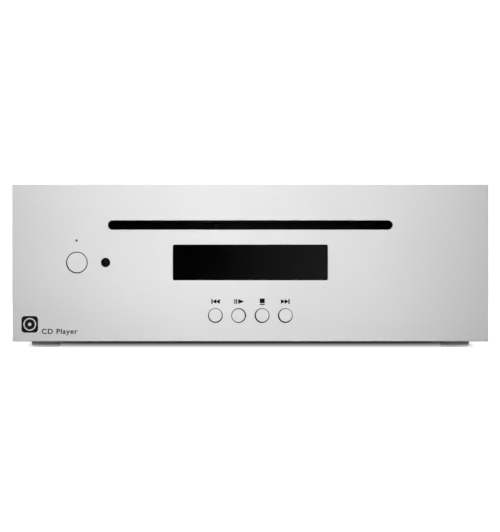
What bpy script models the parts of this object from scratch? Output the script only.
"""A compact slot-loading CD player, built from separate parts.

Lengths are in millimetres and angles in degrees until a mesh is made, which is in metres.
+X is to the right of someone facing the player, +Y runs from the front to the back, +Z is up.
Heights are measured from a level GROUND below the surface that the feet stand on. In the finished
part that surface is z = 0, and the origin is on it, under the middle of the player.
"""

from math import acos, atan2, cos, degrees, pi, radians, sin, sqrt, tan

import bmesh
import bpy
from mathutils import Matrix, Vector

MM = 0.001
GROUND = 1.0  # height of the surface that the feet stand on
GAP = 0.1  # between parts that rest on each other
RUNNING = 0.15  # radial clearance of round parts that turn in each other

# Outside of the case
PANEL_W = 206.0
PANEL_H = 68.0
PANEL_T = 8.0
PANEL_Z = 4.0  # underside of the front panel
CASE_DEPTH = 194.0  # front panel's face to rear panel's face
OVERALL_DEPTH = 200.0  # with the button caps and the sockets
BUTTON_PROUD = 0.3
CASE_INSET = 1.5  # cover's side and top inside the front panel's edges
SHEET = 1.2
COVER_BEND = 2.0

FACE_Y = -OVERALL_DEPTH / 2 + BUTTON_PROUD
PANEL_BACK = FACE_Y + PANEL_T
REAR_Y = FACE_Y + CASE_DEPTH
TIP_Y = OVERALL_DEPTH / 2
COVER_X = PANEL_W / 2 - CASE_INSET
COVER_TOP = PANEL_Z + PANEL_H - 1.0
TRAY_X = COVER_X - SHEET - GAP
TRAY_Z = PANEL_Z + 1.0
TRAY_FLOOR = TRAY_Z + SHEET
FLANGE_Y = PANEL_BACK + GAP  # tray's front flange, behind the panel
FLANGE_BACK = FLANGE_Y + SHEET
FEET = {"foot_front_left": (-89.6, -79.0), "foot_rear_left": (-89.6, 78.0),
        "foot_front_right": (89.6, -79.0), "foot_rear_right": (89.6, 78.0)}
FOOT_R, FOOT_RING_R, FOOT_RECESS_R, FOOT_STUD_R = 6.5, 5.6, 2.0, 2.2
SCREW_Z = 12.5  # cover's screws
SCREW_HEAD_R, SCREW_R = 2.6, 1.35
COVER_SCREWS = {"cover_screw_left_front": (-COVER_X, -62.0), "cover_screw_left_rear": (-COVER_X, 66.0),
                "cover_screw_right_front": (COVER_X, -62.0), "cover_screw_right_rear": (COVER_X, 66.0)}

# Front panel's features
SLOT_W, SLOT_H, SLOT_Z = 123.4, 4.1, 54.4
DISPLAY_W, DISPLAY_H, DISPLAY_Z, DISPLAY_R = 67.2, 15.5, 38.2, 0.6
CONTROL_Z = 38.15  # power button and sensor
POWER_X, POWER_D = -75.1, 8.8
SENSOR_X, SENSOR_D = -62.7, 4.0
LED_Z, LED_D = 47.8, 0.6
KEY_Z, KEY_D, KEY_PITCH = 15.2, 5.8, 10.1
POWER_HOLE_D, KEY_HOLE_D, SENSOR_HOLE_D = 9.3, 6.3, 4.1
POCKET = (-88.0, 48.0, 8.5, 49.0)  # low x, high x, low z, high z
FACE_T = 3.0  # panel left in front of the pocket
FACE_BACK = FACE_Y + FACE_T
KEYS = ("previous", "play_pause", "stop_eject", "next")
BUTTON_TRAVEL = 0.6

# Circuit boards
BOARD_T = 1.6
FRONT_BOARD_Y = FLANGE_BACK + GAP
SWITCH_FACE = FRONT_BOARD_Y - 3.6
STEM_END = SWITCH_FACE + 0.4  # buttons' stems, in their switches
MAIN_BOARD = (-70.0, 70.0, -60.0, 92.0)  # low x, high x, low y, high y
MAIN_BOARD_Z = 12.0
MAIN_BOARD_TOP = MAIN_BOARD_Z + BOARD_T
CAPACITORS = [(34, 70, 5, 12), (46, 66, 5, 12), (60, 62, 4, 10),
              (-30, 68, 3, 8), (-20, 68, 3, 8)]  # x, y, radius, height
CHIPS = [(-30, 20, 14, 14, 1.6), (-32, 48, 10, 10, 1.4), (6, 62, 10, 6, 2.0), (20, -10, 16, 8, 2.2),
         (40, 10, 12, 12, 5.0)]  # x, y, width, depth, height
STANDOFFS = [(x, y) for x in (-66.0, 66.0) for y in (-56.0, 88.0)]
SOCKET_Z = 26.0
BLOCK_Z = MAIN_BOARD_TOP + GAP  # where a socket's housing stands on the main board
SOCKET_REAR = REAR_Y - SHEET - GAP  # back of a socket's housing, against the rear panel
RCA_X = {"rca_socket_left": -58.0, "rca_socket_right": -44.0, "digital_coax_socket": -16.0}
OPTICAL_X, TRIGGER_X, POWER_INLET_X = 4.0, 26.0, 50.0
OPTICAL_TOP = SOCKET_Z + 4.0
SHUTTER_T = 0.7

# Disc drive
DISC_Y = -26.0  # axis of a loaded disc
DRIVE_X = 76.0
DRIVE_Y = (-83.0, 65.0)
DRIVE_FLOOR = 30.0
DRIVE_FOOT = 8.8
DRIVE_FEET = {"damper_front_left": (-84.0, -65.0), "damper_rear_left": (-84.0, 52.0),
              "damper_front_right": (84.0, -65.0), "damper_rear_right": (84.0, 52.0)}
CHANNEL_TOP = 56.7  # underside of the disc channel's roof
TURNTABLE_TOP = 50.4
ROOF_Z = 57.6
FRAME_Z = (39.0, 46.0)  # plastic frame that carries the pickup
ROD_X, ROD_Z, ROD_R = 23.0, 42.0, 1.5
SLED_TRAVEL = 34.0
LENS_Y = DISC_Y + 24.0  # pickup's lens at the innermost track
SLED_CLEAR = 2.0  # between the pickup at its innermost place and its frame

# Loading roller on its swinging bracket
PIVOT_Y, PIVOT_Z = -48.5, 43.0
ROLLER_Y, ROLLER_Z, ROLLER_R, ROLLER_WAIST_R = -72.0, 44.9, 5.0, 4.3
ROLLER_SHAFT_R, LOADING_AXLE_R = 1.5, 1.2
LOADING_MOTOR_Y, LOADING_MOTOR_Z, LOADING_MOTOR_R = -57.0, 40.0, 7.6
ARM_X = 62.4

# Clamp over the disc
HINGE_Y, HINGE_Z = 56.0, 60.0
ARM_Z = HINGE_Z - 0.6  # underside of the arm with a disc clamped
CLAMP_LIFT = 4.6  # how far the arm is tilted up with no disc
SLIDER_TRAVEL = 8.0
CAM_Y = 20.0  # arm's pin in the slider's slanted slot
CAM_Z = 41.0
CAM_TAB_X = -72.4
SLIDER_X = -73.0
GUIDE_PINS = ((-2.0, CAM_Z + 5.0), (38.0, CAM_Z + 5.0))  # drive frame's pins that the slider rides on

# Sensing lever
LEVER_PIVOT = (-60.0, 50.0)
LEVER_TIP = (-16.0, 29.0)
LEVER_Z = 48.2

# Gears
MODULE = 0.6
PRESSURE_ANGLE = radians(20)
TEETH = {"loading_pinion": 14, "loading_wheel": 32, "loading_hub": 14, "roller": 18,
         "sled_hub": 14, "sled_wheel": 36, "sled_pinion": 14}
SLED_GEAR_Y, SLED_AXLE_R = 23.5, 1.1
MOTOR_SHAFT_R = 0.8
RACK_X = 29.0  # rack's pitch line
SLED_MOTOR_TURN = radians(62)  # from the double gear's axis to the motor's
PINION_X = (70.8, 72.8)  # loading motor's pinion and the wheel that it turns
HUB_X = (66.2, 70.6)  # double gear's hub and the roller's gear

COLOURS = {
    # name: (red, green, blue, metallic, roughness)
    "silver": (0.80, 0.80, 0.80, 1.0, 0.38),
    "cover_silver": (0.72, 0.73, 0.74, 1.0, 0.45),
    "zinc": (0.62, 0.63, 0.64, 1.0, 0.42),
    "steel": (0.70, 0.70, 0.72, 1.0, 0.22),
    "black_plastic": (0.02, 0.02, 0.022, 0.0, 0.5),
    "white_plastic": (0.78, 0.76, 0.70, 0.0, 0.45),
    "smoked_lens": (0.01, 0.01, 0.012, 0.0, 0.08),
    "clear_plastic": (0.85, 0.88, 0.9, 0.0, 0.15),
    "rubber": (0.02, 0.02, 0.02, 0.0, 0.8),
    "felt": (0.012, 0.012, 0.013, 0.0, 0.95),
    "board_green": (0.02, 0.16, 0.07, 0.0, 0.45),
    "gold": (0.85, 0.62, 0.25, 1.0, 0.25),
    "screw_black": (0.05, 0.05, 0.055, 1.0, 0.4),
    "ribbon": (0.85, 0.85, 0.82, 0.0, 0.5),
}


# ---------------------------------------------------------------- outlines

def circle(u, v, radius, sides=32):
    """Points round a circle, counter-clockwise."""
    return [(u + radius * cos(2 * pi * i / sides), v + radius * sin(2 * pi * i / sides))
            for i in range(sides)]


def arc(u, v, radius, start, end, steps):
    """Points along an arc from start to end, in degrees."""
    angles = [radians(start + (end - start) * i / steps) for i in range(steps + 1)]
    return [(u + radius * cos(a), v + radius * sin(a)) for a in angles]


def rectangle(u0, u1, v0, v1, radius=0.0, steps=4):
    """A rectangle, its corners rounded where a radius is given."""
    if radius == 0:
        return [(u0, v0), (u1, v0), (u1, v1), (u0, v1)]
    corners = ((u1, v0, -90), (u1, v1, 0), (u0, v1, 90), (u0, v0, 180))
    points = []
    for u, v, start in corners:
        inner_u = u - radius if u == u1 else u + radius
        inner_v = v - radius if v == v1 else v + radius
        points += arc(inner_u, inner_v, radius, start, start + 90, steps)
    return points


def capsule(u0, v0, u1, v1, radius, steps=8):
    """A slot with round ends, between two centres."""
    turn = degrees(atan2(v1 - v0, u1 - u0))
    return (arc(u1, v1, radius, turn - 90, turn + 90, steps)
            + arc(u0, v0, radius, turn + 90, turn + 270, steps))


def involute(angle):
    return tan(angle) - angle


def gear_outline(teeth, tooth_at, backlash=0.16):
    """Teeth round the origin, one of them centred on the angle tooth_at, in radians.

    Each flank is the straight line between two points of its involute, so it lies just inside it.
    """
    pitch_r = MODULE * teeth / 2
    base_r = pitch_r * cos(PRESSURE_ANGLE)
    root_r = pitch_r - 1.2 * MODULE
    tip_r = pitch_r + 0.85 * MODULE
    half_at_pitch = (pi * MODULE / 2 - backlash) / 2 / pitch_r
    low_half, tip_half = (
        half_at_pitch + involute(PRESSURE_ANGLE) - involute(acos(base_r / radius))
        for radius in (max(root_r, base_r), tip_r))
    points = []
    for i in range(teeth):
        middle = tooth_at + 2 * pi * i / teeth
        for radius, angle in ((root_r, middle - low_half), (tip_r, middle - tip_half),
                              (tip_r, middle + tip_half), (root_r, middle + low_half)):
            points.append((radius * cos(angle), radius * sin(angle)))
    return points


def meshing_tooth(driver_teeth, driver_tooth_at, direction, teeth):
    """Where a gear needs a tooth to mesh with a driver that lies against it.

    direction is the angle from the driver's centre to this gear's centre.
    """
    driver_pitch = 2 * pi / driver_teeth
    ahead = ((driver_tooth_at - direction) / driver_pitch) % 1.0
    own_pitch = 2 * pi / teeth
    return direction + pi + own_pitch / 2 - ahead * own_pitch


def pitch_radius(name):
    return MODULE * TEETH[name] / 2


# ---------------------------------------------------------------- solids

def in_space(axis, u, v, along):
    """A point from its two coordinates across an axis and the one along it."""
    return {"X": (along, u, v), "Y": (u, along, v), "Z": (u, v, along)}[axis]


def placed(point):
    """A point of this file as metres from the origin."""
    x, y, z = point
    return Vector((x, y, z - GROUND)) * MM


def finish(name, mesh_builder, colour):
    """Turns a bmesh into a named object with its material."""
    bmesh.ops.recalc_face_normals(mesh_builder, faces=mesh_builder.faces)
    for vert in mesh_builder.verts:
        vert.co = placed(vert.co)
    mesh = bpy.data.meshes.new(name)
    mesh_builder.to_mesh(mesh)
    mesh_builder.free()
    mesh.shade_smooth()
    mesh.set_sharp_from_angle(angle=radians(30))
    mesh.materials.append(material(colour))
    built = bpy.data.objects.new(name, mesh)
    bpy.context.scene.collection.objects.link(built)
    return built


def material(name):
    """The Principled material of that name, made the first time it is asked for."""
    if name in bpy.data.materials:
        return bpy.data.materials[name]
    red, green, blue, metallic, roughness = COLOURS[name]
    made = bpy.data.materials.new(name)
    made.use_nodes = True
    made.diffuse_color = (red, green, blue, 1.0)
    shader = made.node_tree.nodes["Principled BSDF"]
    shader.inputs["Base Color"].default_value = (red, green, blue, 1.0)
    shader.inputs["Metallic"].default_value = metallic
    shader.inputs["Roughness"].default_value = roughness
    return made


def prism(name, axis, outline, low, high, colour="black_plastic", holes=()):
    """A flat outline, with its holes, drawn out along an axis from low to high."""
    builder = bmesh.new()
    edges = []
    for loop in (outline, *holes):
        verts = [builder.verts.new(in_space(axis, u, v, low)) for u, v in loop]
        edges += [builder.edges.new((verts[i - 1], verts[i])) for i in range(len(verts))]
    filled = bmesh.ops.triangle_fill(builder, edges=edges, use_beauty=True)
    faces = [f for f in filled["geom"] if isinstance(f, bmesh.types.BMFace)]
    drawn = bmesh.ops.extrude_face_region(builder, geom=faces)
    moved = [v for v in drawn["geom"] if isinstance(v, bmesh.types.BMVert)]
    shift = Vector(in_space(axis, 0, 0, high - low))
    bmesh.ops.translate(builder, verts=moved, vec=shift)
    return finish(name, builder, colour)


def block(name, x, y, z, colour="black_plastic", bevel=0.0, bevel_if=None):
    """A box between pairs of coordinates. bevel_if picks the edges to bevel by their middle."""
    builder = bmesh.new()
    bmesh.ops.create_cube(builder, size=1.0)
    for vert in builder.verts:
        vert.co = [span[0] if c < 0 else span[1]
                   for span, c in zip((x, y, z), vert.co, strict=True)]
    if bevel:
        edges = [e for e in builder.edges
                 if bevel_if is None or bevel_if((e.verts[0].co + e.verts[1].co) / 2)]
        bmesh.ops.bevel(builder, geom=edges, offset=bevel, segments=2, profile=0.5,
                        affect="EDGES")
    return finish(name, builder, colour)


def turned(name, axis, centre, profile, colour="black_plastic", sides=32, closed=False):
    """A profile of (radius, along) points spun round an axis through centre.

    A closed profile makes a ring. An open one starts and ends on the axis.
    """
    builder = bmesh.new()
    verts = [builder.verts.new(in_space(axis, centre[0] + r, centre[1], along))
             for r, along in profile]
    pairs = list(zip(verts, verts[1:], strict=False))
    if closed:
        pairs.append((verts[-1], verts[0]))
    edges = [builder.edges.new(pair) for pair in pairs]
    bmesh.ops.spin(builder, geom=verts + edges, cent=in_space(axis, *centre, 0),
                   axis=in_space(axis, 0, 0, 1), angle=2 * pi, steps=sides, use_merge=True)
    bmesh.ops.remove_doubles(builder, verts=builder.verts, dist=1e-4)
    flat_ends = [pair[0][1] for pair in (profile[:2], profile[:-3:-1]) if pair[0][1] == pair[1][1]]
    middles = [in_space(axis, *centre, along) for along in flat_ends]
    on_axis = [v for v in builder.verts if any((v.co - Vector(m)).length < 1e-4 for m in middles)]
    bmesh.ops.dissolve_verts(builder, verts=on_axis)
    return finish(name, builder, colour)


def combine(target, other, operation):
    """Cuts or joins another solid, which is used up."""
    modifier = target.modifiers.new(operation.lower(), "BOOLEAN")
    modifier.operation = operation
    modifier.solver = "EXACT"
    modifier.object = other
    bpy.context.view_layer.update()
    graph = bpy.context.evaluated_depsgraph_get()
    result = bpy.data.meshes.new_from_object(target.evaluated_get(graph))
    target.modifiers.clear()
    result.name = target.name
    old = target.data
    target.data = result
    bpy.data.meshes.remove(old)
    spent = other.data
    bpy.data.objects.remove(other)
    bpy.data.meshes.remove(spent)
    target.data.shade_smooth()
    target.data.set_sharp_from_angle(angle=radians(30))
    return target


def cut(target, *others):
    for other in others:
        combine(target, other, "DIFFERENCE")
    return target


def join(target, *others):
    for other in others:
        combine(target, other, "UNION")
    return target


def hole(axis, u, v, radius, low, high, sides=24):
    """A round cutter."""
    return prism("cutter", axis, circle(u, v, radius, sides), low, high)


def slab(x, y, z):
    """A box that cuts or is joined."""
    return block("piece", x, y, z)


def about(span, middle):
    """The two ends of a span centred on middle."""
    return (middle - span / 2, middle + span / 2)


def turn_on(target, pivot):
    """Puts an object's origin on its joint's axis, and leaves its shape where it is."""
    place = placed(pivot)
    target.data.transform(Matrix.Translation(-place))
    target.location = place
    return target


def tilt_up(target):
    """Tilts a clamp part, made level, up about the arm's hinge to where it waits with no disc."""
    hinge = placed((0, HINGE_Y, HINGE_Z))
    turn = Matrix.Rotation(radians(-CLAMP_LIFT), 4, "X")
    target.data.transform(Matrix.Translation(hinge) @ turn @ Matrix.Translation(-hinge))
    return target


# ---------------------------------------------------------------- case

def front_panel():
    """Machined panel with a pocket in its back, and holes for the slot, display and controls."""
    panel = block("front_panel", about(PANEL_W, 0), (FACE_Y, PANEL_BACK),
                  (PANEL_Z, PANEL_Z + PANEL_H), "silver", 0.25, on_face)
    through = (FACE_Y - 1, PANEL_BACK + 1)
    half_slot = (SLOT_W - SLOT_H) / 2
    low_x, high_x, low_z, high_z = POCKET
    display = rectangle(*about(DISPLAY_W, 0), *about(DISPLAY_H, DISPLAY_Z), DISPLAY_R)
    cut(panel,
        prism("slot", "Y", capsule(-half_slot, SLOT_Z, half_slot, SLOT_Z, SLOT_H / 2), *through),
        slab((low_x, high_x), (FACE_BACK, PANEL_BACK + 1), (low_z, high_z)),
        prism("display", "Y", display, *through),
        hole("Y", POWER_X, CONTROL_Z, POWER_HOLE_D / 2, *through, sides=36),
        hole("Y", SENSOR_X, CONTROL_Z, SENSOR_HOLE_D / 2, *through, sides=32),
        hole("Y", POWER_X, LED_Z, LED_D / 2, *through, sides=12))
    for x in key_places():
        cut(panel, hole("Y", x, KEY_Z, KEY_HOLE_D / 2, *through, sides=28))
    return panel


def on_face(middle):
    """Whether an edge with that middle is on the front panel's face."""
    return abs(middle.y - FACE_Y) < 0.01


def key_places():
    """The four keys' places across the panel, from the left."""
    return [(i - 1.5) * KEY_PITCH for i in range(len(KEYS))]


def base_chassis():
    """Folded steel tray: floor, low sides, and a tall front flange that the panel fixes to."""
    side_top = TRAY_Z + 14.0
    section = [(-TRAY_X, TRAY_Z), (TRAY_X, TRAY_Z), (TRAY_X, side_top),
               (TRAY_X - SHEET, side_top), (TRAY_X - SHEET, TRAY_FLOOR),
               (SHEET - TRAY_X, TRAY_FLOOR), (SHEET - TRAY_X, side_top), (-TRAY_X, side_top)]
    shy = 0.3  # keeps the tray's and the flange's faces out of each other's planes
    tray = prism("base_chassis", "Y", section, FLANGE_Y + shy, SOCKET_REAR, "zinc")
    board_window = rectangle(-84.0, 44.0, 11.5, 48.7)
    slot_window = rectangle(-67.0, 67.0, 49.8, 60.0)
    flange_top = COVER_TOP - SHEET - 0.5
    flange_outline = rectangle(shy - TRAY_X, TRAY_X - shy, TRAY_Z + shy, flange_top)
    join(tray, prism("flange", "Y", flange_outline, FLANGE_Y, FLANGE_BACK,
                     holes=(board_window, slot_window)))
    for x, y in STANDOFFS:
        standoff = circle(x, y, 2.5, 12)
        join(tray, prism("standoff", "Z", standoff, TRAY_FLOOR - 0.5, MAIN_BOARD_Z - GAP))
    through = (TRAY_Z - 1, TRAY_FLOOR + 1)
    for x, y in FEET.values():
        cut(tray, hole("Z", x, y, FOOT_STUD_R + 0.3, *through, sides=12))
    for x, y in COVER_SCREWS.values():
        low, high = sorted((x, x * 0.95))
        cut(tray, hole("X", y, SCREW_Z, 2.1, low, high, sides=12))
    for i in range(6):
        x = (i - 2.5) * 7.3
        cut(tray, prism("vent", "Z", capsule(x, -80.3, x, -70.3, 1.5, steps=3), *through))
    return tray


def top_cover():
    """Sheet folded over the top and both sides, with countersunk screw holes."""
    top, bend = COVER_TOP, COVER_BEND
    inner_bend = bend - SHEET
    right = arc(COVER_X - bend, top - bend, bend, 0, 90, 5)
    left = arc(bend - COVER_X, top - bend, bend, 90, 180, 5)
    inner_left = arc(bend - COVER_X, top - bend, inner_bend, 180, 90, 3)
    inner_right = arc(COVER_X - bend, top - bend, inner_bend, 90, 0, 3)
    outer = [(COVER_X, TRAY_Z), *right, *left, (-COVER_X, TRAY_Z)]
    inner = [(SHEET - COVER_X, TRAY_Z), *inner_left, *inner_right, (COVER_X - SHEET, TRAY_Z)]
    cover = prism("top_cover", "Y", outer + inner, FLANGE_Y, REAR_Y, "cover_silver")
    for face, y in COVER_SCREWS.values():
        outward = 1 if face > 0 else -1
        outside, inside = face + outward, face - outward * (SHEET + 1)
        profile = [(0, outside), (3.9, outside), (1.75, inside), (0, inside)]
        cut(cover, turned("countersink", "X", (y, SCREW_Z), profile, sides=24))
    return cover


def cover_screws():
    """Countersunk socket screws, their heads level with the case's sides."""
    head_h, length = 1.6, 6.0
    for name, (x, y) in COVER_SCREWS.items():
        outward = 1 if x > 0 else -1
        face = x - outward * 0.1
        neck, tip = face - outward * head_h, face - outward * length
        profile = [(0, face), (SCREW_HEAD_R, face), (SCREW_R, neck), (SCREW_R, tip), (0, tip)]
        screw = turned(name, "X", (y, SCREW_Z), profile, "screw_black", 24)
        low, high = sorted((face + outward, face - outward * 1.3))
        cut(screw, prism("socket", "X", circle(y, SCREW_Z, 1.15, 6), low, high))


def rear_panel():
    """Sheet with openings for the sockets and a row of vents."""
    outline = rectangle(-TRAY_X, TRAY_X, TRAY_FLOOR + GAP, COVER_TOP - SHEET - GAP, 0.8, 2)
    openings = [circle(x, SOCKET_Z, 5.2, 20) for x in RCA_X.values()]
    openings += [rectangle(*about(14.4, OPTICAL_X), *about(11.0, SOCKET_Z)),
                 circle(TRIGGER_X, SOCKET_Z, 4.3, 20),
                 rectangle(*about(9.6, POWER_INLET_X), *about(11.6, SOCKET_Z))]
    for i in range(10):
        x = (i - 4.5) * 6.0
        openings.append(capsule(x, 60.8, x, 66.6, 1.1, steps=3))
    return prism("rear_panel", "Y", outline, REAR_Y - SHEET, REAR_Y, "cover_silver", openings)


def feet():
    """Rubber feet: each rests on a ring round a recess, and plugs into the tray with a stud."""
    top = TRAY_Z - GAP
    recess_top, stud_top = GROUND + 1.4, TRAY_FLOOR + 1.5
    profile = [(0, recess_top), (FOOT_RECESS_R, recess_top), (FOOT_RECESS_R, GROUND),
               (FOOT_RING_R, GROUND), (FOOT_R - 0.3, GROUND + 0.9), (FOOT_R, top),
               (FOOT_STUD_R, top), (FOOT_STUD_R, stud_top), (0, stud_top)]
    for name, place in FEET.items():
        turned(name, "Z", place, profile, "rubber", 20)


# ---------------------------------------------------------------- controls

def display_window():
    """Smoked lens, level with the panel, held by a wider flange behind it."""
    play = 2 * GAP
    lens = rectangle(*about(DISPLAY_W - play, 0), *about(DISPLAY_H - play, DISPLAY_Z), DISPLAY_R - GAP)
    flange = rectangle(*about(DISPLAY_W + 3, 0), *about(DISPLAY_H + 3, DISPLAY_Z), 1.0)
    window = prism("display_window", "Y", lens, FACE_Y + 0.1, FACE_BACK + 0.6, "smoked_lens")
    return join(window, prism("flange", "Y", flange, FACE_BACK + GAP, FACE_BACK + 1.1))


def display_module():
    """Frame of the display, with its glass set in."""
    front, back = FACE_BACK + 1.3, FRONT_BOARD_Y - GAP
    module = block("display_module", about(74, 0), (front, back), about(18.6, DISPLAY_Z))
    return cut(module, slab(about(69, 0), (front - 1, front + 0.5), about(16.2, DISPLAY_Z)))


def front_board():
    """Circuit board behind the panel, with its switches, sensor, LED and ribbon socket."""
    board_back = FRONT_BOARD_Y + BOARD_T
    board = block("front_board", (-90.0, 50.0), (FRONT_BOARD_Y, board_back), (7.6, 48.7), "board_green")
    behind = FRONT_BOARD_Y + 0.5
    for x, z in [(POWER_X, CONTROL_Z)] + [(x, KEY_Z) for x in key_places()]:
        join(board, slab(about(6, x), (SWITCH_FACE, behind), about(6, z)))
        cut(board, hole("Y", x, z, 1.8, SWITCH_FACE - 1, SWITCH_FACE + 1.4, sides=16))
    join(board,
         slab(about(5.6, SENSOR_X), (FRONT_BOARD_Y - 2.6, behind), about(6.4, CONTROL_Z)),
         slab(about(3.0, POWER_X), (FRONT_BOARD_Y - 1.6, behind), about(2.4, LED_Z - 0.6)),
         slab(about(20, -20), (board_back - 0.5, board_back + 2.4), (8.6, 12.6)))
    return board


def sensor_window():
    """Dark domed plug for the remote control's receiver, just below the panel's face."""
    radius = SENSOR_D / 2
    front, back = FACE_Y + 0.35, FACE_BACK + 1.2
    dome_r = 4.5
    dome_from = front + dome_r - sqrt(dome_r**2 - radius**2)
    dome = [(dome_r * sin(a), front + dome_r - dome_r * cos(a))
            for a in (radians(i * 8.0) for i in range(3))]
    profile = [*dome, (radius, dome_from), (radius, FACE_BACK + GAP), (3.0, FACE_BACK + GAP),
               (3.0, back), (0, back)]
    return turned("sensor_window", "Y", (SENSOR_X, CONTROL_Z), profile, "smoked_lens", 24)


def led_light_pipe():
    """Fine clear rod that brings the indicator's light to its pinhole."""
    tip, shoulder, back = FACE_Y + 0.3, FACE_BACK + GAP, FRONT_BOARD_Y - 1.9
    rod_r = 0.23
    profile = [(0, tip), (rod_r, tip), (rod_r, shoulder), (1.0, shoulder), (1.0, back), (0, back)]
    return turned("led_light_pipe", "Y", (POWER_X, LED_Z), profile, "clear_plastic", 12)


def button(name, x, z, diameter, sides):
    """Cap, the collar that keeps it behind the panel, and the stem that works its switch."""
    cap = diameter / 2
    collar, stem = cap + 0.9, 1.5
    front = FACE_Y - BUTTON_PROUD
    collar_front = FACE_BACK + GAP
    collar_back = collar_front + 0.9
    profile = [(0, front), (cap - 0.25, front), (cap, front + 0.25), (cap, collar_front),
               (collar, collar_front), (collar, collar_back), (stem, collar_back),
               (stem, STEM_END), (0, STEM_END)]
    made = turned(name, "Y", (x, z), profile, "silver", sides)
    return turn_on(made, (x, front, z))


def buttons():
    button("power_button", POWER_X, CONTROL_Z, POWER_D, 36)
    for key, x in zip(KEYS, key_places(), strict=True):
        button(key + "_button", x, KEY_Z, KEY_D, 28)


def slot_liner():
    """Black mouth that leads the disc from the panel into the drive."""
    front, back = FLANGE_Y + GAP, DRIVE_Y[0] - 0.4
    outer = rectangle(-66.5, 66.5, 50.2, 59.6, 1.0, 2)
    throat = rectangle(-62.8, 62.8, SLOT_Z - 2.6, SLOT_Z + 2.6, 1.0, 2)
    liner = prism("slot_liner", "Y", outer, front, back, "black_plastic", (throat,))
    lip = rectangle(-70.0, 70.0, 49.2, 62.0)
    lip_front = FLANGE_BACK + GAP
    return join(liner, prism("lip", "Y", lip, lip_front, lip_front + 1.2, holes=(throat,)))


def slot_felt():
    """Thin felt lining of the mouth, which wipes the disc."""
    front, back = FLANGE_Y + 0.3, DRIVE_Y[0] - 1.0
    outer = rectangle(-62.7, 62.7, SLOT_Z - 2.5, SLOT_Z + 2.5, 0.9, 2)
    inner = rectangle(-62.2, 62.2, SLOT_Z - 2.1, SLOT_Z + 2.1, 0.5, 2)
    return prism("slot_felt", "Y", outer, front, back, "felt", (inner,))


# ---------------------------------------------------------------- boards and sockets

def main_board():
    """Main circuit board with its soldered capacitors, chips and sockets for the ribbons."""
    screw_holes = [circle(x, y, 1.6, 12) for x, y in STANDOFFS]
    board = prism("main_board", "Z", rectangle(*MAIN_BOARD), MAIN_BOARD_Z, MAIN_BOARD_TOP,
                  "board_green", screw_holes)
    top = MAIN_BOARD_TOP - 0.4
    for x, y, radius, height in CAPACITORS:
        join(board, prism("capacitor", "Z", circle(x, y, radius, 12), top, MAIN_BOARD_TOP + height))
    for x, y, wide, deep, height in CHIPS:
        join(board, slab(about(wide, x), about(deep, y), (top, MAIN_BOARD_TOP + height)))
    join(board,
         slab(about(20, -20), (-58, -53.5), (top, MAIN_BOARD_TOP + 2.6)),
         slab(about(18, -2), (74, 78.5), (top, MAIN_BOARD_TOP + 2.6)))
    return board


def rca_socket(name, x):
    """Gold-plated shell with a hollow centre, on a block that stands on the main board."""
    shell_r, collar_r, bore_r = 4.15, 4.9, 1.65
    inside = REAR_Y - 12.0
    profile = [(0, TIP_Y - 0.6), (3.3, TIP_Y - 0.6), (3.3, TIP_Y), (shell_r - 0.25, TIP_Y),
               (shell_r, TIP_Y - 0.25), (shell_r, REAR_Y + 1.2), (collar_r, REAR_Y + 1.2),
               (collar_r, REAR_Y - 3), (0, REAR_Y - 3)]
    socket = turned(name, "Y", (x, SOCKET_Z), profile, "gold", 20)
    join(socket, slab(about(10.4, x), (inside, SOCKET_REAR), (BLOCK_Z, SOCKET_Z + 6)))
    return cut(socket, hole("Y", x, SOCKET_Z, bore_r, REAR_Y - 6, TIP_Y + 1, sides=16))


def optical_socket():
    """Black housing with a keyed opening and a cavity for the plug."""
    mouth, back = REAR_Y + 1.0, REAR_Y - 13.0
    socket = block("optical_socket", about(14.2, OPTICAL_X), (back, SOCKET_REAR), (BLOCK_Z, SOCKET_Z + 5.4))
    join(socket, slab(about(13.6, OPTICAL_X), (back + 1, mouth), about(10.2, SOCKET_Z)))
    cut(socket, prism("cavity", "Y", optical_key(4.8, 4.0, OPTICAL_TOP), REAR_Y - 9.5, mouth + 1))
    return cut(socket, hole("X", *optical_hinge(), 0.5, *about(11.2, OPTICAL_X), sides=10))


def optical_key(half_width, below, top):
    """The keyed outline of an optical plug: two corners cut off below."""
    low, chamfer = SOCKET_Z - below, 1.6
    left, right = about(2 * half_width, OPTICAL_X)
    return [(left + chamfer, low), (right - chamfer, low), (right, low + chamfer), (right, top),
            (left, top), (left, low + chamfer)]


def optical_shutter():
    """Sprung flap that closes the optical socket, hung from a pin along its top edge."""
    hinge_y, hinge_z = optical_hinge()
    flap = prism("optical_shutter", "Y", optical_key(4.5, 3.7, hinge_z), *about(SHUTTER_T, hinge_y))
    join(flap, prism("pin", "X", circle(hinge_y, hinge_z, SHUTTER_T / 2, 12), *about(10.8, OPTICAL_X)))
    return turn_on(flap, (OPTICAL_X, hinge_y, hinge_z))


def optical_hinge():
    """The shutter pin's place along the case and its height."""
    return REAR_Y + 0.2, OPTICAL_TOP - 0.2 - SHUTTER_T / 2


def trigger_jack():
    """Small round jack for the wire that switches other units on."""
    profile = [(0, REAR_Y + 2.2), (3.6, REAR_Y + 2.2), (4.0, REAR_Y + 1.8), (4.0, REAR_Y - 3),
               (0, REAR_Y - 3)]
    jack = turned("trigger_jack", "Y", (TRIGGER_X, SOCKET_Z), profile, sides=24)
    join(jack, slab(about(8.6, TRIGGER_X), (REAR_Y - 13, SOCKET_REAR), (BLOCK_Z, SOCKET_Z + 4.6)))
    return cut(jack, hole("Y", TRIGGER_X, SOCKET_Z, 1.8, REAR_Y - 10.5, REAR_Y + 3, sides=16))


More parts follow.
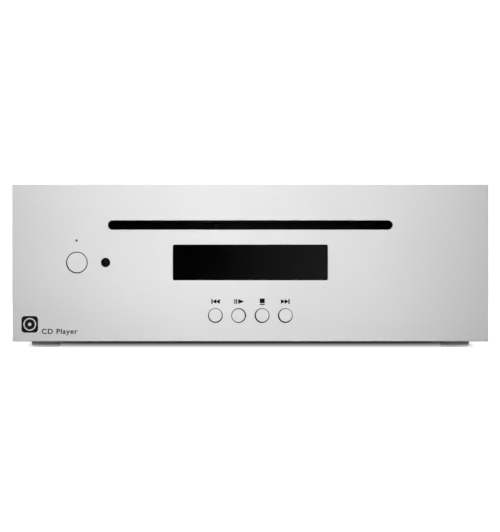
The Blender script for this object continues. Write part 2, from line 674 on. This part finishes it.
def power_inlet():
    """Low-voltage inlet: a square black housing, a round well and its centre pin."""
    mouth, back = REAR_Y + 1.2, REAR_Y - 13.0
    inlet = block("power_inlet", about(9.4, POWER_INLET_X), (back, SOCKET_REAR), (BLOCK_Z, SOCKET_Z + 5.7))
    join(inlet, slab(about(9.0, POWER_INLET_X), (back + 1, mouth), about(11.0, SOCKET_Z)))
    cut(inlet, hole("Y", POWER_INLET_X, SOCKET_Z, 2.85, REAR_Y - 9.5, mouth + 1, sides=20))
    pin = prism("pin", "Y", circle(POWER_INLET_X, SOCKET_Z, 1.0, 12), REAR_Y - 10, mouth - 0.6)
    return join(inlet, pin)


def ribbon(name, route, x, width):
    """Flat cable along a route of (y, z) points, the same thickness all along."""
    thickness = 0.4
    upper, lower = [], []
    for i, (y, z) in enumerate(route):
        before, after = route[max(i - 1, 0)], route[min(i + 1, len(route) - 1)]
        along = Vector((after[0] - before[0], after[1] - before[1])).normalized()
        side = Vector((-along.y, along.x)) * thickness / 2
        upper.append((y + side.x, z + side.y))
        lower.append((y - side.x, z - side.y))
    return prism(name, "X", upper + lower[::-1], *about(width, x), "ribbon")


def ribbons():
    """Flat cables from the main board to the front board and to the drive, as (y, z) routes."""
    start = FRONT_BOARD_Y + BOARD_T + 2.5
    away = [(start, 10.6), (start + 1.0, 10.6)]
    up = arc(start + 1.0, 14.6, 4.0, -90, 0, 6)[1:]
    over = arc(start + 9.0, 14.6, 4.0, 180, 90, 6)[1:]
    ribbon("display_ribbon", away + up + over + [(-66.0, 18.6), (-61.0, 17.4), (-58.4, 15.4)], -20, 16)
    out = [(63.0, 36.0), (66.0, 36.0)]
    down = arc(66.0, 30.0, 6.0, 90, -20, 8)[1:]
    ribbon("drive_ribbon", out + down + [(73.4, 22.0), (75.0, 17.6), (75.6, 16.4)], -2, 14)


# ---------------------------------------------------------------- disc drive

def drive_frame():
    """Folded steel frame of the drive, on four legs."""
    wall = DRIVE_X - SHEET
    top = ROOF_Z - GAP
    floor_top = DRIVE_FLOOR + SHEET
    section = [(-DRIVE_X, DRIVE_FOOT), (-wall, DRIVE_FOOT), (-wall, DRIVE_FLOOR), (wall, DRIVE_FLOOR),
               (wall, DRIVE_FOOT), (DRIVE_X, DRIVE_FOOT), (DRIVE_X, top), (wall, top), (wall, floor_top),
               (-wall, floor_top), (-wall, top), (-DRIVE_X, top)]
    frame = prism("drive_frame", "Y", section, *DRIVE_Y, "zinc")
    through_floor = (DRIVE_FLOOR - 1, floor_top + 1)
    opening = rectangle(-49.5, 49.5, -44, 52, 6, 3)
    cut(frame,
        slab((-80, 80), (-58.0, 44.0), (DRIVE_FOOT - 1, DRIVE_FLOOR - 3)),
        prism("opening", "Z", opening, *through_floor),
        slab((62.7, wall - 0.8), (-90, -54.2), through_floor))
    for x, y in DRIVE_FEET.values():
        outward = 1 if x > 0 else -1
        tab_x = sorted((outward * (DRIVE_X - SHEET / 2), x + outward * 6))
        join(frame, slab(tab_x, about(14, y), (DRIVE_FOOT, DRIVE_FOOT + SHEET)))
        cut(frame, hole("Z", x, y, 3.3, DRIVE_FOOT - 1, DRIVE_FOOT + 3, sides=16))
    for side in (-1, 1):
        low, high = sorted((side * (wall - 1), side * (DRIVE_X + 1)))
        cut(frame, hole("X", PIVOT_Y, PIVOT_Z, 2.0, low, high, sides=16))
    post = [(0, floor_top - 0.5), (3.0, floor_top - 0.5), (3.0, LEVER_Z - 0.3), (1.6, LEVER_Z - 0.3),
            (1.6, LEVER_Z + 2.0), (0, LEVER_Z + 2.0)]
    join(frame, turned("post", "Z", LEVER_PIVOT, post, sides=16))
    for place in GUIDE_PINS:
        join(frame, prism("pin", "X", circle(*place, 1.2, 12), -wall - 0.5, SLIDER_X + 1.0))
    return frame


def dampers():
    """Rubber grommets between the drive's feet and the case's floor."""
    floor = TRAY_FLOOR + GAP
    neck_r, wide_r = 3.1, 5.0
    under, over = DRIVE_FOOT - GAP, DRIVE_FOOT + SHEET + GAP
    profile = [(0, floor), (wide_r, floor), (wide_r, under), (neck_r, under), (neck_r, over),
               (wide_r, over), (wide_r, over + 1.4), (wide_r - 0.8, over + 2.2), (0, over + 2.2)]
    for name, place in DRIVE_FEET.items():
        turned(name, "Z", place, profile, "rubber", 12)


def drive_roof():
    """Steel lid over the disc, with a window for the clamp and ears for its hinge."""
    low_y, high_y = DRIVE_Y
    window = circle(0, DISC_Y, 17.5, 32)
    notch = rectangle(-DRIVE_X + 1.8, -68.0, CAM_Y - 4.0, CAM_Y + 4.0)
    barrel_window = rectangle(-22.4, 22.4, HINGE_Y - 3.2, HINGE_Y + 3.2)
    channel_ribs = ((-58.0, -50.0), (50.0, 58.0))
    roof = prism("drive_roof", "Z", rectangle(-DRIVE_X, DRIVE_X, low_y, high_y), ROOF_Z, ROOF_Z + SHEET,
                 "zinc", (window, notch, barrel_window))
    for x in channel_ribs:
        join(roof, slab(x, (low_y + 2, 40.0), (CHANNEL_TOP, ROOF_Z + 0.5)))
    for side in (-1, 1):
        ear_x = sorted((side * 22.0, side * 23.6))
        ear = slab(ear_x, (HINGE_Y - 3.5, HINGE_Y + 3.5), (ROOF_Z + 0.5, HINGE_Z + 3.6))
        join(roof, ear)
        cut(roof, hole("X", HINGE_Y, HINGE_Z, 1.4 + RUNNING, ear_x[0] - 1, ear_x[1] + 1, sides=16))
    return roof


def pickup_frame():
    """Moulded frame that holds the spindle motor, the guide rods and the pickup's gears."""
    low, high = FRAME_Z
    outline = rectangle(-56.0, 56.0, -46.0, 63.5, 4.0, 3)
    motor_hole = circle(0, DISC_Y, 11.0, 32)
    window = rectangle(-30.5, 30.5, -13.0, 60.4)
    frame = prism("pickup_frame", "Z", outline, low, high, "black_plastic", (motor_hole, window))
    for side in (-1, 1):
        x = side * ROD_X
        join(frame, slab(about(6, x), (-14.0, -9.5 - SLED_CLEAR), (low, high)))
        cut(frame, hole("Y", x, ROD_Z, ROD_R + GAP, -17.5, 62.6, sides=12))
    gear_x, gear_y = sled_gear_place()
    hub_r = pitch_radius("sled_hub") + 1.1
    cut(frame, prism("pocket", "Z", circle(gear_x, gear_y, hub_r, 20), 43.2, high + 1))
    join(frame, prism("axle", "Z", circle(gear_x, gear_y, SLED_AXLE_R, 12), 42.5, high + 2.4))
    motor_x, motor_y = sled_motor_place()
    cut(frame, hole("Z", motor_x, motor_y, 2.2, low - 1, high + 1, sides=16))
    cut(frame, prism("recess", "Z", circle(motor_x, motor_y, 5.6, 24), high - 0.6, high + 1))
    for x in (-53.0, 53.0):
        for y in (-41.0, 57.0):
            join(frame, prism("leg", "Z", circle(x, y, 2.6, 12), DRIVE_FLOOR + SHEET + GAP, low + 0.5))
    return frame


def guide_rods():
    """Steel rods that the pickup slides along."""
    for side, name in ((-1, "guide_rod_left"), (1, "guide_rod_right")):
        rod = circle(side * ROD_X, ROD_Z, ROD_R, 12)
        prism(name, "Y", rod, -17.0, 62.2, "steel")


def sled_gear_place():
    """Axis of the gear that drives the pickup's rack."""
    return RACK_X + pitch_radius("sled_hub"), SLED_GEAR_Y


def sled_motor_place():
    """Axis of the pickup's motor: as far from the wheel as their pitch circles reach."""
    gear_x, gear_y = sled_gear_place()
    reach = pitch_radius("sled_wheel") + pitch_radius("sled_pinion")
    return gear_x + reach * cos(SLED_MOTOR_TURN), gear_y + reach * sin(SLED_MOTOR_TURN)


def motor(name, axis, centre, radius, back, front, shaft_r, shaft_end, boss_r=3.0, sides=20):
    """Can, front boss and shaft, which points up its axis."""
    rim, boss_end = 0.8, front + 0.8
    profile = [(0, back), (radius - rim, back), (radius, back + rim), (radius, front - rim),
               (radius - rim, front), (boss_r, front), (boss_r, boss_end), (shaft_r, boss_end),
               (shaft_r, shaft_end), (0, shaft_end)]
    return turned(name, axis, centre, profile, "steel", sides)


def motors():
    """The three motors. The one that loads the disc is carried by the roller's bracket."""
    motor("spindle_motor", "Z", (0, DISC_Y), 10.6, 34.5, 46.4, 1.0, 50.6)
    motor("sled_motor", "Z", sled_motor_place(), 8.0, 21.0, FRAME_Z[0] - GAP, MOTOR_SHAFT_R, 48.0,
          boss_r=2.0)
    made = motor("loading_motor", "X", (LOADING_MOTOR_Y, LOADING_MOTOR_Z), LOADING_MOTOR_R, 42.0,
                 ARM_X - GAP, MOTOR_SHAFT_R, PINION_X[1], boss_r=2.0)
    turn_on(made, (0, PIVOT_Y, PIVOT_Z))


def turntable():
    """Disc seat with a tapered hub, on the spindle motor's shaft."""
    low, top, hub_top = 48.0, TURNTABLE_TOP, TURNTABLE_TOP + 1.8
    seat_r, hub_r, bore_r = 14.5, 7.4, 1.0 + RUNNING
    profile = [(0, top + 1.0), (bore_r, top + 1.0), (bore_r, low), (seat_r, low), (seat_r, top),
               (hub_r, top), (hub_r, top + 0.9), (hub_r - 1.2, hub_top), (0, hub_top)]
    made = turned("turntable", "Z", (0, DISC_Y), profile, "black_plastic", 28)
    return turn_on(made, (0, DISC_Y, top))


def pickup_sled():
    """Pickup's carriage: a body between two guide rods, with a rack along its right side."""
    front, back = LENS_Y - 9.0, LENS_Y + 20.0
    low, high = 35.0, 45.5
    sled = block("pickup_sled", (-18.5, 18.5), (front, back), (low, high), "black_plastic")
    cut(sled, slab(about(15, 0), about(13, LENS_Y), (high - 4.0, high + 1)))
    bushes = ((front, front + 6), (back - 6, back))
    for y in bushes:
        join(sled, slab((-26.5, -18.0), y, (38.6, 45.4)))
    cut(sled, prism("bore", "Y", circle(-ROD_X, ROD_Z, ROD_R + RUNNING, 16), front - 1, back + 1))
    middle = (front + back) / 2
    join(sled, slab((18.0, 26.0), about(8, middle), (38.6, 45.4)))
    cut(sled, slab((20.5, 30.0), about(10, middle), (ROD_Z - ROD_R - RUNNING, ROD_Z + ROD_R + RUNNING)))
    rack = rack_bar()
    join(sled, slab((18.0, RACK_X - 1.6), (front + 2, back), (44.0, 45.4)), rack)
    return turn_on(sled, (0, LENS_Y, ROD_Z))


def rack_bar():
    """Straight teeth with a gap level with the gear that drives them."""
    pitch = pi * MODULE
    first, last = -12.6, 26.0
    back_x = RACK_X - 2.6
    tip_x, root_x = RACK_X + 0.85 * MODULE, RACK_X - 1.2 * MODULE
    half = (pitch / 2 - 0.16) / 2
    points = [(back_x, last), (back_x, first), (root_x, first)]
    lean = tan(PRESSURE_ANGLE)
    low_half = half + (RACK_X - root_x) * lean
    tip_half = half - (tip_x - RACK_X) * lean
    for i in range(-19, 1):
        middle = SLED_GEAR_Y + (i + 0.5) * pitch
        points += [(root_x, middle - low_half), (tip_x, middle - tip_half),
                   (tip_x, middle + tip_half), (root_x, middle + low_half)]
    points.append((root_x, last))
    return prism("rack", "Z", points, 43.7, 45.4)


def lens_holder():
    """Moving holder with the objective lens, which follows the disc's surface."""
    low = 42.2
    holder = block("lens_holder", about(12, 0), about(9.5, LENS_Y), (low, 47.6))
    lens_r = 2.3
    dome = [(lens_r * cos(a), 47.9 + 0.8 * sin(a)) for a in (radians(i * 22.5) for i in range(4))]
    profile = [(0, 47.0), (3.0, 47.0), (3.0, 47.9), *dome, (0, 48.7)]
    join(holder, turned("lens", "Z", (0, LENS_Y), profile, sides=18))
    return turn_on(holder, (0, LENS_Y, low))


def spur(name, axis, centre, teeth, tooth_at, low, high, colour="white_plastic"):
    """A gear with solid faces."""
    outline = [(centre[0] + u, centre[1] + v) for u, v in gear_outline(teeth, tooth_at)]
    return prism(name, axis, outline, low, high, colour)


def loading_gear_place():
    """Axis of the double gear, below the line from the motor to the roller."""
    to_roller = pitch_radius("loading_hub") + pitch_radius("roller")
    to_motor = pitch_radius("loading_wheel") + pitch_radius("loading_pinion")
    way = Vector((LOADING_MOTOR_Y - ROLLER_Y, LOADING_MOTOR_Z - ROLLER_Z))
    apart = way.length
    way.normalize()
    along = (to_roller**2 - to_motor**2 + apart**2) / (2 * apart)
    aside = sqrt(to_roller**2 - along**2)
    down = Vector((way.y, -way.x))
    return ROLLER_Y + along * way.x + aside * down.x, ROLLER_Z + along * way.y + aside * down.y


def direction(start, end):
    return atan2(end[1] - start[1], end[0] - start[0])


def loading_gears():
    """Motor pinion, double gear and the gear on the roller's shaft, all carried by the bracket."""
    motor_at = (LOADING_MOTOR_Y, LOADING_MOTOR_Z)
    roller_at = (ROLLER_Y, ROLLER_Z)
    middle = loading_gear_place()
    pinion = spur("loading_pinion", "X", motor_at, TEETH["loading_pinion"], 0.0, *PINION_X)
    cut(pinion, hole("X", *motor_at, MOTOR_SHAFT_R + GAP, PINION_X[0] - 1, PINION_X[1] + 1, sides=12))
    turn_on(pinion, (PINION_X[0], *motor_at))
    wheel_tooth = meshing_tooth(TEETH["loading_pinion"], 0.0, direction(motor_at, middle),
                                TEETH["loading_wheel"])
    double = spur("loading_gear", "X", middle, TEETH["loading_wheel"], wheel_tooth,
                  PINION_X[0], PINION_X[1] - 0.2)
    join(double, spur("hub", "X", middle, TEETH["loading_hub"], 0.0, HUB_X[0], PINION_X[0] + 0.5))
    cut(double, hole("X", *middle, LOADING_AXLE_R + RUNNING, HUB_X[0] - 1, PINION_X[1] + 1, sides=16))
    turn_on(double, (HUB_X[0], *middle))
    roller_tooth = meshing_tooth(TEETH["loading_hub"], 0.0, direction(middle, roller_at),
                                 TEETH["roller"])
    shaft = prism("roller_shaft", "X", circle(*roller_at, ROLLER_SHAFT_R, 16), -66.5, HUB_X[1], "steel")
    join(shaft, spur("gear", "X", roller_at, TEETH["roller"], roller_tooth,
                     HUB_X[0] + 0.2, HUB_X[1] - 0.2))
    turn_on(shaft, (0, *roller_at))


def feed_roller():
    """Rubber roller, thinner at its waist so that a disc stays in the middle."""
    half, waist, edge = 58.0, 6.0, 0.5
    bore = ROLLER_SHAFT_R + GAP
    profile = [(bore, -half), (ROLLER_R - edge, -half), (ROLLER_R, edge - half),
               (ROLLER_WAIST_R, -waist), (ROLLER_WAIST_R, waist),
               (ROLLER_R, half - edge), (ROLLER_R - edge, half), (bore, half)]
    made = turned("feed_roller", "X", (ROLLER_Y, ROLLER_Z), profile, "rubber", 24, closed=True)
    return turn_on(made, (0, ROLLER_Y, ROLLER_Z))


def roller_bracket():
    """Swinging steel bracket that carries the roller, its motor and gears."""
    low, high = ARM_X, ARM_X + SHEET
    outline = [(PIVOT_Y + 4, PIVOT_Z + 4), (PIVOT_Y + 4, PIVOT_Z - 7), (-65.0, 32.0), (-73.0, 32.0),
               (-76.5, 42.0), (-76.5, 48.3), (-60.0, 48.3)]
    shaft_hole = circle(ROLLER_Y, ROLLER_Z, ROLLER_SHAFT_R + RUNNING, 16)
    motor_hole = circle(LOADING_MOTOR_Y, LOADING_MOTOR_Z, 2.2, 16)
    bracket = prism("roller_bracket", "X", outline, low, high, "zinc", (shaft_hole, motor_hole))
    left = prism("left_side", "X", outline, -high, -low, holes=(shaft_hole,))
    within = 0.4  # how far a joined piece starts inside a side's sheet
    bridge = slab((within - high, high - within), (PIVOT_Y - 0.4, PIVOT_Y + 0.8),
                  (PIVOT_Z - 6.4, PIVOT_Z + 3.5))
    join(bracket, left, bridge)
    for side in (-1, 1):
        inner, outer = sorted((side * (low + within), side * (DRIVE_X + 0.6)))
        join(bracket, prism("pivot", "X", circle(PIVOT_Y, PIVOT_Z, 1.8, 16), inner, outer))
    axle = circle(*loading_gear_place(), LOADING_AXLE_R, 16)
    join(bracket, prism("axle", "X", axle, low + within, PINION_X[1] + 0.6))
    return turn_on(bracket, (0, PIVOT_Y, PIVOT_Z))


def sensing_lever():
    """Lever with a post that the disc's rear edge pushes back when it is fully in."""
    thickness = 1.2
    outline = capsule(*LEVER_PIVOT, *LEVER_TIP, 3.2, steps=6)
    lever = prism("sensing_lever", "Z", outline, LEVER_Z, LEVER_Z + thickness, "white_plastic",
                  (circle(*LEVER_PIVOT, 1.6 + RUNNING, 16),))
    post = circle(*LEVER_TIP, 1.5, 16)
    join(lever, prism("post", "Z", post, LEVER_Z + 0.5, CHANNEL_TOP - 0.4))
    return turn_on(lever, (*LEVER_PIVOT, LEVER_Z))


def mode_slider():
    """Plate whose slanted slot lowers the clamp arm as it slides back."""
    outline = rectangle(CAM_Y - 35.0, CAM_Y + 24.0, CAM_Z - 6.0, CAM_Z + 9.0, 1.5, 2)
    slots = [capsule(y - SLIDER_TRAVEL, z, y, z, 1.45, steps=5) for y, z in GUIDE_PINS]
    slots.append(capsule(CAM_Y - SLIDER_TRAVEL, CAM_Z, *cam_pin_up(), 1.5, steps=6))
    slider = prism("mode_slider", "X", outline, SLIDER_X - SHEET, SLIDER_X, "steel", slots)
    return turn_on(slider, (SLIDER_X, CAM_Y, CAM_Z))


def cam_pin_up():
    """The arm's pin with the arm tilted up, as (y, z)."""
    lift = radians(CLAMP_LIFT)
    back, up = CAM_Y - HINGE_Y, CAM_Z - HINGE_Z
    return HINGE_Y + back * cos(lift) + up * sin(lift), HINGE_Z - back * sin(lift) + up * cos(lift)


def clamp_arm():
    """Sheet arm over the disc, with a hinge barrel behind and a cam pin on its left."""
    head, neck, tail, tab = 15.0, 11.0, 19.0, 3.5  # half widths along the arm
    right = [(head, DISC_Y + 12), (neck, 6.0), (neck, HINGE_Y - 6), (tail, HINGE_Y - 3), (tail, HINGE_Y)]
    left = [(-tail, HINGE_Y), (-tail, HINGE_Y - 3), (-neck, HINGE_Y - 6), (-neck, CAM_Y + tab),
            (CAM_TAB_X, CAM_Y + tab), (CAM_TAB_X, CAM_Y - tab), (-neck, CAM_Y - tab), (-neck, 6.0),
            (-head, DISC_Y + 12)]
    outline = arc(0, DISC_Y, head, 180, 360, 14) + right + left
    puck_hole = circle(0, DISC_Y, 8.6, 28)
    arm = prism("clamp_arm", "Z", outline, ARM_Z, ARM_Z + SHEET, "zinc", (puck_hole,))
    pin_r, barrel_r, barrel_end, pin_end = 1.4, 2.0, 19.5, 24.4
    profile = [(0, -pin_end), (pin_r, -pin_end), (pin_r, -barrel_end), (barrel_r, -barrel_end),
               (barrel_r, barrel_end), (pin_r, barrel_end), (pin_r, pin_end), (0, pin_end)]
    cam = circle(CAM_Y, CAM_Z, 1.2, 16)
    join(arm,
         turned("barrel", "X", (HINGE_Y, HINGE_Z), profile, sides=16),
         slab((CAM_TAB_X, CAM_TAB_X + SHEET), about(5, CAM_Y), (CAM_Z - 2.5, ARM_Z + 0.5)),
         prism("cam", "X", cam, SLIDER_X - SHEET - 0.2, CAM_TAB_X + 0.5))
    tilt_up(arm)
    return turn_on(arm, (0, HINGE_Y, HINGE_Z))


def clamp_puck():
    """Disc clamp that hangs loose in the arm and turns with the disc."""
    seat = TURNTABLE_TOP + 1.3
    shoulder = seat + 1.6
    under, over = ARM_Z - 0.5, ARM_Z + SHEET + RUNNING
    hollow_r, seat_r, neck_r, cap_r = 7.8, 13.5, 7.6, 10.6
    profile = [(0, shoulder), (hollow_r, shoulder), (hollow_r, seat), (seat_r, seat),
               (seat_r, shoulder), (neck_r + 1.4, shoulder + 1.0), (neck_r, under), (neck_r, over),
               (cap_r, over), (cap_r, over + 0.8), (0, over + 0.8)]
    puck = turned("clamp_puck", "Z", (0, DISC_Y), profile, "black_plastic", 24)
    tilt_up(puck)
    return turn_on(puck, clamp_axis_point())


def clamp_axis_point():
    """Where the clamp puck's axis crosses the tilted arm."""
    lift = radians(CLAMP_LIFT)
    back = DISC_Y - HINGE_Y
    return 0, HINGE_Y + back * cos(lift), HINGE_Z - back * sin(lift)


def sled_gears():
    """Motor pinion and the double gear that moves the pickup."""
    gear_at, motor_at = sled_gear_place(), sled_motor_place()
    low, high = FRAME_Z[1] + 0.5, FRAME_Z[1] + 2.0
    hub_low = 43.5
    hub_tooth = pi  # the rack's gap is to the left of the gear
    double = spur("sled_gear", "Z", gear_at, TEETH["sled_wheel"], 0.0, low, high)
    join(double, spur("hub", "Z", gear_at, TEETH["sled_hub"], hub_tooth, hub_low, low + 0.5))
    cut(double, hole("Z", *gear_at, SLED_AXLE_R + RUNNING, hub_low - 1, high + 1, sides=12))
    turn_on(double, (*gear_at, low))
    tooth = meshing_tooth(TEETH["sled_wheel"], 0.0, direction(gear_at, motor_at), TEETH["sled_pinion"])
    pinion = spur("sled_pinion", "Z", motor_at, TEETH["sled_pinion"], tooth, low, high)
    cut(pinion, hole("Z", *motor_at, MOTOR_SHAFT_R + GAP, low - 1, high + 1, sides=12))
    turn_on(pinion, (*motor_at, low))


def clear_scene():
    for old in list(bpy.data.objects):
        bpy.data.objects.remove(old)


def build():
    clear_scene()
    for make in (front_panel, base_chassis, top_cover, cover_screws, rear_panel, feet,
                 display_window, display_module, front_board, sensor_window, led_light_pipe, buttons,
                 slot_liner, slot_felt, main_board, optical_socket, optical_shutter, trigger_jack,
                 power_inlet, ribbons, drive_frame, dampers, drive_roof, pickup_frame, guide_rods,
                 motors, turntable, pickup_sled, lens_holder, loading_gears, feed_roller, roller_bracket,
                 sensing_lever, mode_slider, clamp_arm, clamp_puck, sled_gears):
        make()
    for name, x in RCA_X.items():
        rca_socket(name, x)


build()
